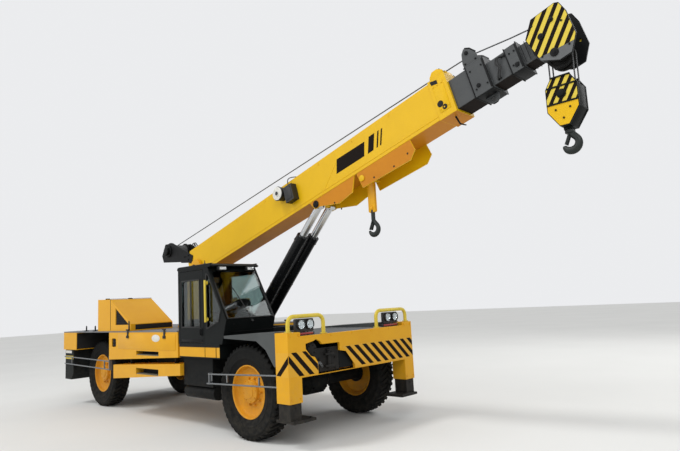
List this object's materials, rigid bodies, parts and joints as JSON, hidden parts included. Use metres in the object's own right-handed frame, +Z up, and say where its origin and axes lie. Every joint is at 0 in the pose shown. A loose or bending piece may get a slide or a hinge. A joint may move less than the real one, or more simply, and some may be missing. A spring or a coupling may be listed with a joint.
{
  "type": "mobile crane",
  "caption": "Wheeled pick-and-carry crane with side cab, rear-axle steering, luffing telescopic boom, twin lift rams, winch, hook block and fixed hook",
  "frame": {"origin": "ground point below the middle of the overall box", "axes": "+X forward along the vehicle, +Y to its left, +Z up"},
  "size_m": [10.4658, 2.5, 4.7219],
  "materials": {
    "body_yellow": "satin",
    "boom_yellow": "satin",
    "cab_dark": "gloss",
    "cast_dark": "rough",
    "chassis_black": "satin",
    "dark_grey": "satin",
    "deck_grey": "matte",
    "pale_yellow": "satin",
    "plastic_black": "matte",
    "rod_chrome": "polished",
    "rope_steel": "oiled",
    "seat_vinyl": "matte",
    "section_grey": "satin",
    "steel": "worn",
    "tyre_rubber": "matte",
    "window_glass": "clear"
  },
  "bodies": {
    "chassis": {"boom_mast": "body_yellow", "cab_floor": "body_yellow", "cab_frame": "cab_dark", "cab_glass": "window_glass", "cab_inner_wall": "cab_dark", "cab_outer_wall": "cab_dark", "cab_roof": "body_yellow", "counterweight": "dark_grey", "driver_console": "plastic_black", "driver_seat": "seat_vinyl", "engine_block": "cast_dark", "engine_hood": "body_yellow", "front_axle": "chassis_black", "front_bumper": "body_yellow", "front_deck": "deck_grey", "guard_rails": "pale_yellow", "head_lamps": "chassis_black", "lamp_guards": "pale_yellow", "main_frame": "chassis_black", "oil_tank": "body_yellow", "rear_axle": "chassis_black", "rear_cross_block": "body_yellow", "rear_deck": "deck_grey", "side_boxes": "body_yellow", "step_boxes": "body_yellow", "tow_hitch": "cast_dark", "under_cab_boxes": "chassis_black"},
    "front_wheel_right": {"rim_front_right": "body_yellow", "tyre_front_right": "tyre_rubber"},
    "front_wheel_left": {"rim_front_left": "body_yellow", "tyre_front_left": "tyre_rubber"},
    "rear_wheel_right": {"rim_rear_right": "body_yellow", "tyre_rear_right": "tyre_rubber"},
    "rear_wheel_left": {"rim_rear_left": "body_yellow", "tyre_rear_left": "tyre_rubber"},
    "knuckle_body_right": {"knuckle_right": "chassis_black"},
    "knuckle_body_left": {"knuckle_left": "chassis_black"},
    "steering_rod_body": {"steering_rod": "rod_chrome"},
    "door": {"cab_door": "cab_dark", "door_glass": "window_glass"},
    "boom_outer": {"boom_base_section": "boom_yellow", "cable_reel": "steel", "winch_frame": "boom_yellow"},
    "boom_second": {"boom_section_2": "section_grey"},
    "boom_third": {"boom_section_3": "section_grey"},
    "boom_fourth": {"boom_section_4": "section_grey", "boom_head": "boom_yellow", "head_sheaves": "steel"},
    "drum": {"winch_drum": "steel"},
    "ram_rods": {"lift_rods": "rod_chrome"},
    "ram_barrels": {"lift_barrels": "body_yellow"},
    "block": {"hook_block": "boom_yellow", "rope_falls": "rope_steel"},
    "block_hook": {"main_hook": "cast_dark"},
    "link_hook": {"fixed_hook": "cast_dark"},
    "leg_right": {"stabiliser_leg_right": "body_yellow"},
    "leg_left": {"stabiliser_leg_left": "body_yellow"}
  },
  "joints": [
    {"name": "front_wheel_right_spin", "type": "hinge", "parent": "chassis", "child": "front_wheel_right", "pos_m": [0.87713, -1.03, 0.625], "axis": [0, 1, 0], "continuous": true},
    {"name": "front_wheel_left_spin", "type": "hinge", "parent": "chassis", "child": "front_wheel_left", "pos_m": [0.87713, 1.03, 0.625], "axis": [0, 1, 0], "continuous": true},
    {"name": "steer_left", "type": "hinge", "parent": "chassis", "child": "knuckle_body_left", "pos_m": [-4.02287, 0.715, 0.625], "axis": [0, 0, 1], "range_deg": [-24, 24]},
    {"name": "steer_right", "type": "hinge", "parent": "chassis", "child": "knuckle_body_right", "pos_m": [-4.02287, -0.715, 0.625], "axis": [0, 0, 1], "range_deg": [-24, 24]},
    {"name": "steering_rod_slide", "type": "slide", "parent": "chassis", "child": "steering_rod_body", "axis": [0, -1, 0], "range_m": [-0.0896, 0.0896]},
    {"name": "rear_wheel_right_spin", "type": "hinge", "parent": "knuckle_body_right", "child": "rear_wheel_right", "pos_m": [-4.02287, -0.84, 0.625], "axis": [0, 1, 0], "continuous": true},
    {"name": "rear_wheel_left_spin", "type": "hinge", "parent": "knuckle_body_left", "child": "rear_wheel_left", "pos_m": [-4.02287, 0.84, 0.625], "axis": [0, 1, 0], "continuous": true},
    {"name": "cab_door_hinge", "type": "hinge", "parent": "chassis", "child": "door", "pos_m": [-0.64187, -1.244, 1.5], "axis": [0, 0, -1], "range_deg": [0, 75]},
    {"name": "boom_luff", "type": "hinge", "parent": "chassis", "child": "boom_outer", "pos_m": [-1.80146, 0, 2.4844], "axis": [0, -1, 0], "range_deg": [-15.33, 44.67]},
    {"name": "boom_extend", "type": "slide", "parent": "boom_outer", "child": "boom_second", "axis": [0.9644, 0, 0.2644], "range_m": [0, 4.3]},
    {"name": "boom_extend_third", "type": "slide", "parent": "boom_second", "child": "boom_third", "axis": [0.9644, 0, 0.2644], "range_m": [0, 4.3]},
    {"name": "boom_extend_fourth", "type": "slide", "parent": "boom_third", "child": "boom_fourth", "axis": [0.9644, 0, 0.2644], "range_m": [0, 4.3]},
    {"name": "winch_drum_spin", "type": "hinge", "parent": "boom_outer", "child": "drum", "pos_m": [-2.82287, 0, 2.9], "axis": [0, 1, 0], "continuous": true},
    {"name": "lift_ram_swing", "type": "hinge", "parent": "boom_outer", "child": "ram_rods", "pos_m": [1.34891, 0, 3.17175], "axis": [0, -1, 0], "range_deg": [-5.6, 2]},
    {"name": "lift_ram_stroke", "type": "slide", "parent": "ram_rods", "child": "ram_barrels", "axis": [-0.6949, 0, -0.7191], "range_m": [-0.447, 1.303]},
    {"name": "hook_block_swing", "type": "hinge", "parent": "boom_fourth", "child": "block", "pos_m": [4.99685, 0, 4.1925], "axis": [0, -1, 0], "range_deg": [-50, 25]},
    {"name": "main_hook_swivel", "type": "hinge", "parent": "block", "child": "block_hook", "pos_m": [4.99685, 0, 3.45], "axis": [0, 0, 1], "continuous": true},
    {"name": "fixed_hook_swing", "type": "hinge", "parent": "boom_outer", "child": "link_hook", "pos_m": [2.2585, 0, 3.38273], "axis": [0, -1, 0], "range_deg": [-50, 25]},
    {"name": "leg_right_slide", "type": "slide", "parent": "chassis", "child": "leg_right", "axis": [0, 0, -1], "range_m": [0, 0.32]},
    {"name": "leg_left_slide", "type": "slide", "parent": "chassis", "child": "leg_left", "axis": [0, 0, -1], "range_m": [0, 0.32]}
  ],
  "couplings": [
    {"joint": "steer_right", "follows": "steer_left", "ratio": 1},
    {"joint": "steering_rod_slide", "follows": "steer_left", "m_per_rad": 0.2137},
    {"joint": "boom_extend_third", "follows": "boom_extend", "ratio": 1},
    {"joint": "boom_extend_fourth", "follows": "boom_extend", "ratio": 1},
    {"joint": "lift_ram_swing", "follows": "boom_luff", "ratio": -0.125},
    {"joint": "lift_ram_stroke", "follows": "boom_luff", "m_per_rad": 1.67}
  ]
}
